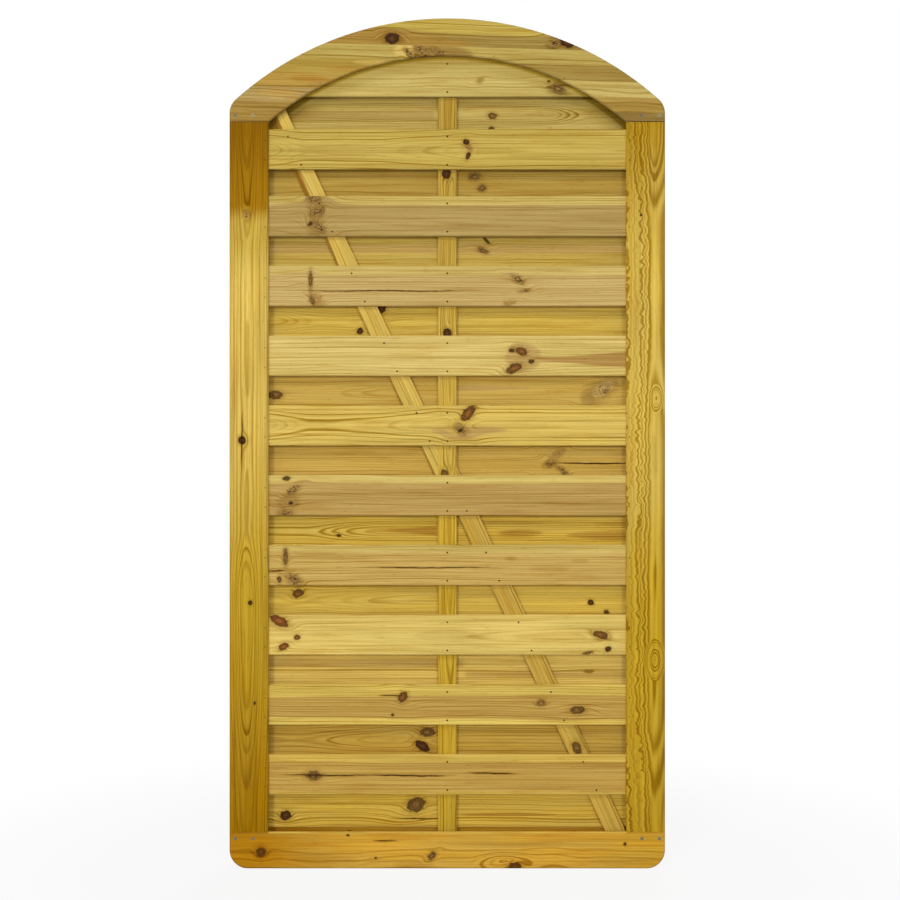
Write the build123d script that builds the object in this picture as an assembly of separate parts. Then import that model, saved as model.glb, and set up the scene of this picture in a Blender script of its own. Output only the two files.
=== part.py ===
from build123d import *
import math
import os

# Millimetres. X runs along the gate, the front faces -Y, Z is up.
# The origin is the middle of the gate's bottom edge, halfway through its thickness.

# Frame
GATE_WIDTH = 900.0
FRAME_THICKNESS = 44.0
STILE_WIDTH = 80.0
STILE_LENGTH = 1466.0
BOTTOM_RAIL_HEIGHT = 76.0
CORNER_RADIUS = 38.0
ARRIS_CHAMFER = 2.5

# Arched rail: rise of its inner curve, its depth at the crown, the radius of its outer curve
ARCH_RISE = 138.0
ARCH_CROWN_DEPTH = 77.0
ARCH_OUTER_RADIUS = 655.0

# The arched rail is sawn from a panel of glued strips, whose glue lines fall to the right
ARCH_STRIP_COUNT = 6
ARCH_STRIP_WIDTH = 31.3
GLUE_LINE_TILT = 1.7

# How far the boards reach into the groove round the opening, and the room left at its floor
TONGUE_LENGTH = 13.0
TONGUE_CLEARANCE = 2.0

# Mortise and tenon joints at the four corners
TENON_THICKNESS = 14.0
TENON_LENGTH = 32.0
TENON_SHOULDER = 8.0
MORTISE_END_GAP = 1.0

# Slats: a front and a back layer, each covering the gaps of the other.
# The second front slat from the top sits a little low.
SLAT_COUNT = 11
SLAT_HEIGHT = 83.5
SLAT_THICKNESS = 8.0
SLAT_EDGE_CHAMFER = 1.6
SLAT_FOOT_GAP = 2.5
SECOND_SLAT_DROP = 6.0

# Batten and braces between the two layers of slats. Towards its head, the upper brace keeps some of the
# tree's own edge, which leaves a wane along its left side.
BATTEN_WIDTH = 38.0
BATTEN_THICKNESS = 12.0
BRACE_WIDTH = 38.0
BRACE_MEETING_HEIGHT = 815.0
BRACE_STAGGER = 61.0
UPPER_BRACE_HEAD_INSET = 27.0
LOWER_BRACE_FOOT_INSET = 22.0
WANE_WIDTH = 17.0
WANE_LENGTH = 363.0

# Square brads: through the slats into batten and braces, and through the groove's cheeks into the slats.
# On the arch, two lie beside the crown, and one at each end rises above the top of a count of strips.
BRAD_SIZE = 1.8
BRAD_TIP_COVER = 2.0
BRAD_EDGE_DISTANCE = 6.0
SLAT_BRAD_TOP_INSET = 15.5
SLAT_BRAD_BOTTOM_INSET = 9.5
CHEEK_BRAD_TOP_INSET = 26.0
CHEEK_BRAD_BOTTOM_INSET = 18.0
CROWN_BRAD_LEFT = 7.0
CROWN_BRAD_RIGHT = 96.0
LEFT_BRAD_STRIP_COUNT = 2
LEFT_BRAD_RISE = 10.0
RIGHT_BRAD_STRIP_COUNT = 3
RIGHT_BRAD_RISE = 4.0

# Countersunk screws that pin the tenons
SCREW_SHANK_RADIUS = 2.0
SCREW_HEAD_RADIUS = 4.0
SCREW_TIP_RADIUS = 0.5
SCREW_POINT_LENGTH = 5.0
SCREW_TIP_COVER = 8.0
SCREW_SIDES = 6
SCREW_OUTER_INSET = 12.0
SCREW_INNER_INSET = 48.0
SCREW_SETBACK = 14.0

# Worked out from the sizes above
FRONT = -1
BACK = 1
half_width = GATE_WIDTH / 2
half_frame = FRAME_THICKNESS / 2
half_opening = half_width - STILE_WIDTH
springing = BOTTOM_RAIL_HEIGHT + STILE_LENGTH
inner_crown = springing + ARCH_RISE
gate_height = inner_crown + ARCH_CROWN_DEPTH
inner_radius = (half_opening**2 + ARCH_RISE**2) / (2 * ARCH_RISE)
inner_centre = inner_crown - inner_radius
outer_centre = gate_height - ARCH_OUTER_RADIUS
groove_depth = TONGUE_LENGTH + TONGUE_CLEARANCE
half_batten = BATTEN_THICKNESS / 2
slat_surface = half_batten + SLAT_THICKNESS
first_back_slat = BOTTOM_RAIL_HEIGHT + SLAT_FOOT_GAP
slat_pitch = (inner_crown - SLAT_HEIGHT - first_back_slat) / (SLAT_COUNT - 0.5)
first_front_slat = first_back_slat + slat_pitch / 2


# Shapes in the plane of the gate
def band(left, right, bottom, top):
    """A rectangle given by its four sides."""
    return Pos((left + right) / 2, (bottom + top) / 2) * Rectangle(right - left, top - bottom)


def arched_face(half, bottom, radius, centre):
    """A shape with a level foot, upright sides and an arched top."""
    side_top = centre + math.sqrt(radius**2 - half**2)
    sides = Polyline((-half, side_top), (-half, bottom), (half, bottom), (half, side_top))
    top = ThreePointArc((half, side_top), (0, centre + radius), (-half, side_top))
    return make_face(Curve() + [sides, top])


def opening_face(growth):
    """The opening between the frame's members, grown evenly on every side."""
    bottom = BOTTOM_RAIL_HEIGHT - growth
    return arched_face(half_opening + growth, bottom, inner_radius + growth, inner_centre)


def board(face, front, back):
    """A shape in the plane of the gate, given thickness from front to back."""
    return extrude(Plane.XZ.offset(-front) * face, amount=back - front, dir=(0, 1, 0))


outline_face = arched_face(half_width, 0, ARCH_OUTER_RADIUS, outer_centre)
outline_face = fillet(outline_face.vertices(), CORNER_RADIUS)
panel_face = opening_face(TONGUE_LENGTH)
groove = board(opening_face(groove_depth), -slat_surface, slat_surface)

# Braces: each runs straight from a corner of the opening to one side of the batten
upper_head = (UPPER_BRACE_HEAD_INSET - half_opening, springing)
upper_foot = (-BATTEN_WIDTH / 2, BRACE_MEETING_HEIGHT + BRACE_STAGGER / 2)
lower_head = (BATTEN_WIDTH / 2, BRACE_MEETING_HEIGHT - BRACE_STAGGER / 2)
lower_foot = (half_opening - LOWER_BRACE_FOOT_INSET, BOTTOM_RAIL_HEIGHT)


def brace(head, foot):
    """A slanting brace, bevelled against the batten and trimmed to the groove at its other end."""
    run = (foot[0] - head[0], foot[1] - head[1])
    middle = ((head[0] + foot[0]) / 2, (head[1] + foot[1]) / 2)
    slope = math.degrees(math.atan2(run[1], run[0]))
    strip = Pos(*middle) * Rot(0, 0, slope) * Rectangle(2 * math.hypot(*run), BRACE_WIDTH)
    side = math.copysign(1, middle[0])
    beside_batten = band(*sorted((side * BATTEN_WIDTH / 2, side * GATE_WIDTH)), 0, gate_height)
    return board(strip & panel_face & beside_batten, -half_batten, half_batten)


def wane(head, foot):
    """The wedge that is missing along a brace's left edge, widest level with its head."""
    run = Vector(foot[0] - head[0], 0, foot[1] - head[1]).normalized()
    inward = Vector(-run.Z, 0, run.X)
    edge = Vector(head[0], -half_batten, head[1]) - inward * (BRACE_WIDTH / 2)
    across = inward * WANE_WIDTH
    slant = Vector(0, BATTEN_THICKNESS, 0) - across
    slope = run * WANE_LENGTH - across
    outward = slant.cross(slope)
    missing = Plane(edge + across, x_dir=slope, z_dir=outward)
    reach = 2 * STILE_LENGTH
    return missing * Box(reach, reach, reach, align=(Align.CENTER, Align.CENTER, Align.MIN))


def brace_middle(head, foot, height):
    """Where the middle line of a brace passes a height."""
    return head[0] + (foot[0] - head[0]) * (height - head[1]) / (foot[1] - head[1])


# Brads, kept by what they are driven into and from which side
batten_brads = {FRONT: [], BACK: []}
upper_brads = {FRONT: [], BACK: []}
lower_brads = {FRONT: [], BACK: []}
stile_brads = {FRONT: [], BACK: []}
arch_brads = []


def brad(x, z, side, head, tip):
    """A square brad driven from one side, its head and tip given as depths from the middle plane."""
    return Pos(x, side * (head + tip) / 2, z) * Box(BRAD_SIZE, head - tip, BRAD_SIZE)


def slat_brad(x, z, side):
    """A brad through a slat into the batten or a brace, which covers its tip."""
    return brad(x, z, side, slat_surface, BRAD_TIP_COVER - half_batten)


def cheek_brad(x, z, side):
    """A brad through the groove's cheek into a slat, which covers its tip."""
    return brad(x, z, side, half_frame, half_batten + BRAD_TIP_COVER)


def clear_of_frame(x, z):
    """Whether a brad here lies well inside the opening."""
    reach = math.hypot(x, z - inner_centre) + BRAD_EDGE_DISTANCE
    under_arch = z <= springing or reach <= inner_radius
    return abs(x) + BRAD_EDGE_DISTANCE <= half_opening and under_arch


def drive_slat_brads(bottom, top, side):
    """Brads near a slat's edges where it crosses the batten and a brace."""
    driven = []
    beside_batten = BATTEN_WIDTH / 2 + BRAD_EDGE_DISTANCE
    for z in (top - SLAT_BRAD_TOP_INSET, bottom + SLAT_BRAD_BOTTOM_INSET):
        upper_x = brace_middle(upper_head, upper_foot, z)
        lower_x = brace_middle(lower_head, lower_foot, z)
        crossings = [(0, batten_brads)]
        if upper_x <= -beside_batten:
            crossings.append((upper_x, upper_brads))
        if lower_x >= beside_batten:
            crossings.append((lower_x, lower_brads))
        for x, kept in crossings:
            if clear_of_frame(x, z):
                kept[side].append(slat_brad(x, z, side))
                driven.append(kept[side][-1])
    return driven


def drive_stile_brads(bottom, top, side):
    """Two brads through each stile's cheek into the ends of a slat that lies between the stiles."""
    driven = []
    if top <= springing:
        for z in (top - CHEEK_BRAD_TOP_INSET, bottom + CHEEK_BRAD_BOTTOM_INSET):
            for end in (-1, 1):
                driven.append(cheek_brad(end * (half_opening + TONGUE_LENGTH / 2), z, side))
    stile_brads[side].extend(driven)
    return driven


def crown_spot(x):
    """Where the middle of the curved tongue passes a distance from the middle of the gate."""
    reach = inner_radius + TONGUE_LENGTH / 2
    return x, inner_centre + math.sqrt(reach**2 - x**2)


def strip_spot(end, strips_below, rise):
    """Where the middle of the curved tongue passes a rise above the glue line over some strips."""
    reach = inner_radius + TONGUE_LENGTH / 2
    tilt = math.radians(GLUE_LINE_TILT)
    height = strips_below * ARCH_STRIP_WIDTH + rise
    above_centre = (springing - inner_centre) * math.cos(tilt) + height
    beside_centre = end * math.sqrt(reach**2 - above_centre**2)
    along = (springing - inner_centre) * math.sin(tilt) + beside_centre
    x = along * math.cos(tilt) + height * math.sin(tilt)
    z = springing - along * math.sin(tilt) + height * math.cos(tilt)
    return x, z


def drive_arch_brads():
    """Brads through the curved cheek of the arched rail into the topmost front slat."""
    spots = [crown_spot(-CROWN_BRAD_LEFT), crown_spot(CROWN_BRAD_RIGHT)]
    spots.append(strip_spot(-1, LEFT_BRAD_STRIP_COUNT, LEFT_BRAD_RISE))
    spots.append(strip_spot(1, RIGHT_BRAD_STRIP_COUNT, RIGHT_BRAD_RISE))
    for x, z in spots:
        arch_brads.append(cheek_brad(x, z, FRONT))
    return arch_brads


# Slats, one layer at a time
def slat(bottom, top, side):
    """A slat with eased long edges, its ends cut to fit the groove."""
    face = band(-half_width, half_width, bottom, top) & panel_face
    blank = board(face, *sorted((side * half_batten, side * slat_surface)))
    return chamfer(blank.edges().filter_by(Axis.X), SLAT_EDGE_CHAMFER)


slats = {}
for layer, side, first in (("front", FRONT, first_front_slat), ("back", BACK, first_back_slat)):
    for row in range(SLAT_COUNT):
        bottom = first + row * slat_pitch
        if side == FRONT and row == SLAT_COUNT - 2:
            bottom -= SECOND_SLAT_DROP
        top = bottom + SLAT_HEIGHT
        driven = drive_slat_brads(bottom, top, side) + drive_stile_brads(bottom, top, side)
        if side == FRONT and row == SLAT_COUNT - 1:
            # The topmost front slat is sawn to the curve and fills the groove of the arched rail
            top = gate_height
            driven += drive_arch_brads()
        slats[f"{layer}_slat_{row + 1:02d}"] = slat(bottom, top, side) - driven

# Batten and braces, with their brad holes
batten_face = band(-BATTEN_WIDTH / 2, BATTEN_WIDTH / 2, 0, gate_height) & panel_face
centre_batten = board(batten_face, -half_batten, half_batten) - batten_brads[FRONT] - batten_brads[BACK]
upper_brace = brace(upper_head, upper_foot) - wane(upper_head, upper_foot)
upper_brace = upper_brace - upper_brads[FRONT] - upper_brads[BACK]
lower_brace = brace(lower_head, lower_foot) - lower_brads[FRONT] - lower_brads[BACK]


# Corner screws: two through each tenon, with flush heads
def corner_screw(x, z):
    """A countersunk screw driven from the front, with flat sides in place of its thread."""
    length = FRAME_THICKNESS - SCREW_TIP_COVER
    stations = (
        (0, SCREW_HEAD_RADIUS),
        (SCREW_HEAD_RADIUS - SCREW_SHANK_RADIUS, SCREW_SHANK_RADIUS),
        (length - SCREW_POINT_LENGTH, SCREW_SHANK_RADIUS),
        (length, SCREW_TIP_RADIUS),
    )
    front = Plane((x, -half_frame, z), x_dir=(1, 0, 0), z_dir=(0, 1, 0))
    sections = [front.offset(depth) * RegularPolygon(radius, SCREW_SIDES) for depth, radius in stations]
    return loft(sections, ruled=True)


corner_screws = []
for z in (BOTTOM_RAIL_HEIGHT - SCREW_SETBACK, springing + SCREW_SETBACK):
    for inset in (SCREW_OUTER_INSET, SCREW_INNER_INSET):
        for end in (-1, 1):
            corner_screws.append(corner_screw(end * (half_width - inset), z))


# Frame members
def ease_rim(member):
    """Take off the arrises along the whole rim of a member's front and back."""
    by_depth = member.faces().sort_by(Axis.Y)
    return chamfer(by_depth[0].edges() + by_depth[-1].edges(), ARRIS_CHAMFER)


def tenon_bar(end, extra):
    """Both tenons of a stile as one bar through it, longer by the extra for the mortises."""
    reach = TENON_LENGTH + extra
    across = sorted((end * (half_opening + groove_depth), end * half_width))
    bar = band(*across, BOTTOM_RAIL_HEIGHT - reach, springing + reach)
    shouldered = bar & offset(outline_face, -TENON_SHOULDER)
    return board(shouldered, -TENON_THICKNESS / 2, TENON_THICKNESS / 2)


def stile(end):
    """An upright with its groove, tenons and holes."""
    across = sorted((end * half_opening, end * half_width))
    blank = board(band(*across, BOTTOM_RAIL_HEIGHT, springing), -half_frame, half_frame)
    shaft = chamfer(blank.edges().filter_by(Axis.Z), ARRIS_CHAMFER)
    return shaft - groove + tenon_bar(end, 0) - stile_brads[FRONT] - stile_brads[BACK] - corner_screws


mortises = [tenon_bar(end, MORTISE_END_GAP) for end in (-1, 1)]
rail_face = outline_face & band(-half_width, half_width, 0, BOTTOM_RAIL_HEIGHT)
bottom_rail = ease_rim(board(rail_face, -half_frame, half_frame)) - groove - mortises - corner_screws
arch_face = (outline_face & band(-half_width, half_width, springing, gate_height)) - opening_face(0)
arch = ease_rim(board(arch_face, -half_frame, half_frame)) - groove - mortises - corner_screws - arch_brads


def arch_strips():
    """The arched rail cut along its glue lines, named from the bottom up."""
    strips = {}
    for number in range(ARCH_STRIP_COUNT):
        low = number * ARCH_STRIP_WIDTH if number > 0 else -gate_height
        high = (number + 1) * ARCH_STRIP_WIDTH if number < ARCH_STRIP_COUNT - 1 else gate_height
        slab = Pos(0, 0, (low + high) / 2) * Box(2 * GATE_WIDTH, 2 * FRAME_THICKNESS, high - low)
        pieces = (arch & Pos(0, 0, springing) * Rot(0, GLUE_LINE_TILT, 0) * slab).solids()
        ends = ("_left", "_right") if len(pieces) == 2 else ("",)
        for piece, end in zip(pieces.sort_by(Axis.X), ends):
            strips[f"arch_strip_{number + 1}{end}"] = piece
    return strips


def together(pieces):
    """Identical fasteners kept as separate solids of one group."""
    return Compound(children=[piece.solid() for piece in pieces])


nodes = {
    "left_stile": stile(-1),
    "right_stile": stile(1),
    "bottom_rail": bottom_rail,
    "centre_batten": centre_batten,
    "upper_brace": upper_brace,
    "lower_brace": lower_brace,
    "corner_screws": together(corner_screws),
    "front_batten_brads": together(batten_brads[FRONT]),
    "back_batten_brads": together(batten_brads[BACK]),
    "front_brace_brads": together(upper_brads[FRONT] + lower_brads[FRONT]),
    "back_brace_brads": together(upper_brads[BACK] + lower_brads[BACK]),
    "front_stile_brads": together(stile_brads[FRONT]),
    "back_stile_brads": together(stile_brads[BACK]),
    "arch_brads": together(arch_brads),
}
nodes.update(arch_strips())
nodes.update(slats)

os.makedirs("parts", exist_ok=True)
for name, solid in nodes.items():
    export_step(solid, f"parts/{name}.step")
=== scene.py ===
# %% [markdown]
# # A garden gate in pressure-treated pine
#
# This gate is one leaf: two stiles, a bottom rail and an arched top rail, with two layers of thin slats
# closing the opening between them. The CAD model holds every board, brad and screw at its true size. In
# this lesson the boards get their timber, their cracks and nail holes are cut, the fasteners get their
# heads, and the gate is lit and seen as it would be in a studio.

# %% Load the gate
import math
import bmesh
import bpy
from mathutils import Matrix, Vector


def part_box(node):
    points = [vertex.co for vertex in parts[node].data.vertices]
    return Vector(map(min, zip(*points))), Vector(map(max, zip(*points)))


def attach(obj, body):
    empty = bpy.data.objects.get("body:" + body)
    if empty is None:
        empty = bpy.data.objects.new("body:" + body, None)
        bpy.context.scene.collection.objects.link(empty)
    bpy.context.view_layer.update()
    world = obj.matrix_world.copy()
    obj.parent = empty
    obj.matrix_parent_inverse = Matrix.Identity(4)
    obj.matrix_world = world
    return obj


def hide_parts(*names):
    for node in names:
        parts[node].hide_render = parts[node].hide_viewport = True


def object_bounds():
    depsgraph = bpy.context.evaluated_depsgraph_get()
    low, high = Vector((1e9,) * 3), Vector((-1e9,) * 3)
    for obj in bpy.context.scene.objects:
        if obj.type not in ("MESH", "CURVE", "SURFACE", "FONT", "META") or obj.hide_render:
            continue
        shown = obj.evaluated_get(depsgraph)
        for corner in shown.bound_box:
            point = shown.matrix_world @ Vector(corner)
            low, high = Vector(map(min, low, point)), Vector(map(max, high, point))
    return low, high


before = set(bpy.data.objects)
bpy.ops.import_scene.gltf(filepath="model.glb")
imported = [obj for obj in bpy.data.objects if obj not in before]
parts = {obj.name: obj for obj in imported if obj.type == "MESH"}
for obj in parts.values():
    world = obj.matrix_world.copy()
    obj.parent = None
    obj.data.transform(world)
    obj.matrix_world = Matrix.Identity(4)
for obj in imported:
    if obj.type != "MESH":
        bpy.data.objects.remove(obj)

cad_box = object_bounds()
MM = 0.001
print("The gate has", len(parts), "nodes and measures", [round(s, 3) for s in cad_box[1] - cad_box[0]], "m")

# %% [markdown]
# ## The camera
#
# The gate is seen square on from a little over three metres, at about half its height, so its stiles stay
# upright and parallel. A long lens from that far away keeps the slats' undersides almost hidden.

# %% Set up the camera
PICTURE_WIDTH_AT_GATE = 1859 * MM
CAMERA_DISTANCE = 3200 * MM
CAMERA_HEIGHT = 864.8 * MM
CAMERA_SIDESTEP = 5.6 * MM
SENSOR_WIDTH = 36


def put(name, data):
    """A new object in the scene."""
    made = bpy.data.objects.new(name, data)
    bpy.context.collection.objects.link(made)
    return made


lens = bpy.data.cameras.new("studio_camera")
lens.sensor_width = SENSOR_WIDTH
lens.lens = SENSOR_WIDTH * CAMERA_DISTANCE / PICTURE_WIDTH_AT_GATE
camera = put("studio_camera", lens)
camera.location = (CAMERA_SIDESTEP, cad_box[0].y - CAMERA_DISTANCE, CAMERA_HEIGHT)
camera.rotation_euler = (math.pi / 2, 0, 0)
bpy.context.scene.camera = camera
bpy.context.scene.view_settings.view_transform = "Standard"
print("The lens is", round(lens.lens, 1), "mm long")

# %% [markdown]
# ## A way to write materials
#
# A material is a net of small sums over the surface. Wrapping a node's output in a class that knows plus,
# minus and times lets each sum be written as it would be read aloud. Any other node is made by one method,
# which sets the node's choices first and then fills its sockets.


# %% Wires that can be reckoned with
class Wire:
    """A node's output, which can be used in sums like a number."""

    def __init__(self, tree, socket=None):
        self.tree = tree
        self.socket = socket

    def node(self, kind, settings, inputs, output=0):
        """A new node of a kind, with its choices and sockets filled, as a wire from one of its outputs."""
        made = self.tree.nodes.new(kind)
        for name, value in settings.items():
            setattr(made, name, value)
        sockets = [socket for socket in made.inputs if socket.enabled]
        names = [socket.name for socket in sockets]
        for key, value in inputs.items():
            socket = sockets[key if isinstance(key, int) else names.index(key)]
            if isinstance(value, Wire):
                value.feed(socket)
            else:
                socket.default_value = value
        return Wire(self.tree, [socket for socket in made.outputs if socket.enabled][output])

    def feed(self, socket):
        """Lead this wire into a socket."""
        self.tree.links.new(self.socket, socket)

    def math(self, operation, *values):
        return self.node("ShaderNodeMath", {"operation": operation}, dict(enumerate(values)))

    def __add__(self, other):
        return self.math("ADD", self, other)

    def __radd__(self, other):
        return self.math("ADD", other, self)

    def __sub__(self, other):
        return self.math("SUBTRACT", self, other)

    def __rsub__(self, other):
        return self.math("SUBTRACT", other, self)

    def __mul__(self, other):
        return self.math("MULTIPLY", self, other)

    def __rmul__(self, other):
        return self.math("MULTIPLY", other, self)

    def __truediv__(self, other):
        return self.math("DIVIDE", self, other)

    def __rtruediv__(self, other):
        return self.math("DIVIDE", other, self)

    def __pow__(self, other):
        return self.math("POWER", self, other)

    def __abs__(self):
        return self.math("ABSOLUTE", self)

    def step(self, low, high):
        """Rises softly from 0 at low to 1 at high, or falls if low is the greater."""
        inputs = {"Value": self, "From Min": low, "From Max": high}
        return self.node("ShaderNodeMapRange", {"interpolation_type": "SMOOTHSTEP"}, inputs)

    def mix(self, amount, first, second, how="MIX"):
        """A colour between two others."""
        settings = {"data_type": "RGBA", "blend_type": how}
        return self.node("ShaderNodeMix", settings, {"Factor": amount, "A": first, "B": second})

    def blend(self, colour, amount):
        """This colour, changed towards another one by an amount."""
        return self.mix(amount, self, colour)

    def dim(self, tint, amount):
        """This colour, seen through a filter by an amount."""
        return self.mix(amount, self, tint, "MULTIPLY")


def new_material(name):
    """An empty material, the sockets of its shader, and a wire to start from."""
    material = bpy.data.materials.new(name)
    material.use_nodes = True
    return material, material.node_tree.nodes["Principled BSDF"].inputs, Wire(material.node_tree)


def paint(red, green, blue):
    """A colour as a picture shows it, 0 to 255, turned into the light that a shader works with."""
    def light(value):
        share = value / 255
        return share / 12.92 if share <= 0.04045 else ((share + 0.055) / 1.055) ** 2.4
    return (light(red), light(green), light(blue), 1.0)


print("A picture's middle grey is", round(paint(128, 128, 128)[0], 2), "of the full light")

# %% [markdown]
# ## Where a point lies in its board
#
# Timber has a direction, so its pattern is worked out from three distances: along the grain, across it,
# and through the board's thickness. Slats and rails run level, stiles and batten stand, and the braces and
# the strips of the arch lie aslant. All distances are in millimetres from the middle of the board.

# %% Along, across and through
PER_METRE = 1 / MM


def lie(start, centre, slope):
    """Distances along, across and through a board whose grain rises at a slope."""
    place = start.node("ShaderNodeTexCoord", {}, {}, output=3)
    x, y, z = [start.node("ShaderNodeSeparateXYZ", {}, {0: place}, output=axis) for axis in range(3)]
    x = x * PER_METRE - centre[0]
    z = z * PER_METRE - centre[1]
    cosine = math.cos(math.radians(slope))
    sine = math.sin(math.radians(slope))
    return x * cosine + z * sine, z * cosine - x * sine, y * PER_METRE


def drift(start, distance, length, seed):
    """A slow wander between -1 and 1 over a distance."""
    inputs = {"W": distance * (1 / length) + seed, "Scale": 1.0, "Detail": 1.5, "Roughness": 0.5}
    return start.node("ShaderNodeTexNoise", {"noise_dimensions": "1D"}, inputs) * 2 - 1


def streaks(start, lines, length, width, seed, detail=2.0):
    """Noise from 0 to 1, drawn out along the grain."""
    along, across, through = lines
    spot = {0: along * (1 / length) + seed, 1: across * (1 / width), 2: through * (1 / width)}
    place = start.node("ShaderNodeCombineXYZ", {}, spot)
    inputs = {"Vector": place, "Scale": 1.0, "Detail": detail, "Roughness": 0.55}
    return start.node("ShaderNodeTexNoise", {}, inputs)


print("The grain is measured in", round(PER_METRE), "steps to the metre")

# %% [markdown]
# ## Knots
#
# A knot is the foot of a branch, cut through with the board. The trunk grew round it, so the rings part
# before it and close again behind it, and the nearest ones loop right round. Measuring the grain from a
# place that is pulled towards each knot gives the flow past it, and a swelling of the rings gives the loops.
# An eye is a bump in the rings with no branch in it: the board cuts it into ovals, one inside the other.

# %% Knots and the grain round them
GRAIN_PULL = 0.85
MOST_LOOPS = 2.6
LOOP_SIZE = 9


def part_round_knots(lines, knots, eyes):
    """The across distance as the grain sees it, the rings' swelling, and the reach from each knot."""
    along, across, through = lines
    grain = across
    swell = 0.0
    near = 0.0
    reaches = []
    for place, offset, length, width, tilt, kind in knots:
        turn = math.radians(tilt)
        down = along - place
        aside = across - offset
        ahead = (down * math.cos(turn) + aside * math.sin(turn)) * (1 / length)
        beside = (aside * math.cos(turn) - down * math.sin(turn)) * (1 / width)
        ahead = ahead * ahead
        beside = beside * beside
        spread = ahead * 0.07 + beside * 0.2 + 1
        close = (ahead + beside) * 0.3 + 1
        grain = grain - aside * GRAIN_PULL / (spread * spread)
        swell = swell + min(MOST_LOOPS, (length + width) / LOOP_SIZE) / (close * close)
        near = near + 1 / (close * close)
        reaches.append(((ahead + beside) ** 0.5, kind))
    for place, offset, length, width, rings in eyes:
        ahead = (along - place) * (1 / length)
        beside = (across - offset) * (1 / width)
        cone = 1 - (ahead * ahead + beside * beside) ** 0.5
        swell = swell - cone.math("MAXIMUM", cone, 0.0) * rings
        near = near + cone.step(0, 0.3)
    return grain, swell, near, reaches


print("At most", MOST_LOOPS, "rings loop round a knot")

# %% [markdown]
# ## Growth rings
#
# Each ring is a long, slightly wavy tube round the heart of the trunk. A board is a thin slice of those
# tubes, so the distance from the heart decides the colour: pale early wood darkens to a thin line of late
# wood and starts again. Where the heart comes nearer to the face, the lines run together in a pointed
# flame, so each board lists its flames by their tip, their length and how far the heart comes forward.

# %% Rings
SIDE_WANDER = 380
DEPTH_WANDER = 170
LATE_START = 0.45
LATE_PEAK = 0.93


def growth_rings(start, lines, grain, swell, seed, pith, flames, sway, ring, waves, blur):
    """How dark the late wood is at each point, from 0 to 1, for a heart that lies at pith."""
    along, across, through = lines
    beside = grain - pith[0] - drift(start, along, SIDE_WANDER, seed) * sway
    behind = through - pith[1] - drift(start, along, DEPTH_WANDER, seed + 40) * sway * 0.6
    for tip, length, lift in flames:
        behind = behind + along.step(tip, tip + length) * lift
    ripple = streaks(start, (along, grain, through), 220, 11, seed)
    radius = (beside * beside + behind * behind) ** 0.5 + (ripple * 0.45 + swell) * ring
    if waves:
        wobble = streaks(start, lines, 15, 40, seed + 9, 1.0) * streaks(start, lines, 90, 30, seed + 3)
        radius = radius + wobble * waves * (across + 5).step(-12, 12)
    count = radius * (1 / ring) + drift(start, radius, ring * 2.7, seed + 80) * 0.7
    share = count.math("FRACT", count)
    number = count.math("FLOOR", count) + seed
    strength = start.node("ShaderNodeTexWhiteNoise", {"noise_dimensions": "1D"}, {"W": number})
    peak = LATE_PEAK - blur * 0.6
    return share.step(LATE_START - blur, peak) * share.step(1.0, peak) * (strength * strength * 1.1 + 0.12)


print("Late wood starts at", LATE_START, "of a ring's width and is darkest at", LATE_PEAK)

# %% [markdown]
# ## The colours of pine
#
# Sapwood is pale, heartwood is browner and slightly pink, and the treatment that keeps rot away leaves a
# tinge between olive and gold. A few colours are enough for the whole gate, because every board mixes
# them in its own way. The ones without a picture colour are filters that darken the wood under them. A kind
# of knot has two tones, a softness, and how strong its dark rim and its specks are.

# %% Timber colours
STRAW = paint(222, 196, 116)
BUTTER = paint(216, 186, 92)
HONEY = paint(212, 180, 80)
ORANGE = paint(210, 162, 58)
PALE_GOLD = paint(226, 194, 96)
OLIVE = paint(190, 166, 90)
ROSE = paint(190, 157, 96)
SAND = paint(188, 154, 82)
RUSSET = paint(170, 124, 46)
DUSK = paint(150, 120, 62)
LATE_WOOD = (0.56, 0.46, 0.18, 1.0)
FIBRE = (0.72, 0.66, 0.5, 1.0)
RESIN = (0.7, 0.52, 0.36, 1.0)
SHADE = (0.84, 0.8, 0.7, 1.0)
WARM = (0.84, 0.72, 0.54, 1.0)
# Painted shade for the groove of the bottom rail.
GROOVE_SHADE = (0.74, 0.68, 0.36, 1.0)
# Painted shade and a painted shadow line for the slats under the arch.
ARCH_SHADE = (0.8, 0.77, 0.66, 1.0)
ARCH_SHADOW = (0.7, 0.61, 0.24, 1.0)
HALO = (0.6, 0.5, 0.34, 1.0)
BARK = paint(48, 32, 18)
CRACK = paint(70, 44, 18)
KNOT_KINDS = {
    "red": (paint(158, 92, 42), paint(116, 64, 28), 0.1, 0.75, 0.2),
    "warm": (paint(144, 94, 42), paint(108, 68, 30), 0.12, 0.7, 0.4),
    "tan": (paint(140, 104, 50), paint(104, 72, 32), 0.14, 0.7, 0.5),
    "dark": (paint(92, 56, 28), paint(56, 34, 20), 0.12, 0.9, 0.3),
    "black": (paint(70, 50, 28), paint(44, 30, 18), 0.4, 0.6, 0.5),
    "brown": (paint(146, 112, 58), paint(92, 66, 32), 0.35, 0.35, 0.6),
    "specked": (paint(160, 128, 72), paint(124, 94, 48), 0.5, 0.0, 0.9),
    "swirl": (paint(160, 124, 62), paint(112, 80, 36), 0.3, 0.3, 0.5),
    "plain": (paint(104, 62, 16), paint(84, 48, 12), 0.12, 0.25, 0.1),
    "pale": (paint(202, 172, 108), paint(172, 142, 84), 0.6, 0.0, 0.6),
    "trace": (paint(172, 138, 76), paint(150, 116, 60), 0.6, 0.0, 0.0),
    "eye": (paint(150, 112, 48), paint(120, 84, 34), 0.9, 0.0, 0.0),
}
EVEN = (1, 1, 1)
SPINDLE = (0, 1, 0)
WIDENING = (0, 0.45, 1)
print("There are", len(KNOT_KINDS), "kinds of knot, and straw is", [round(c, 2) for c in STRAW[:3]])

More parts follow.
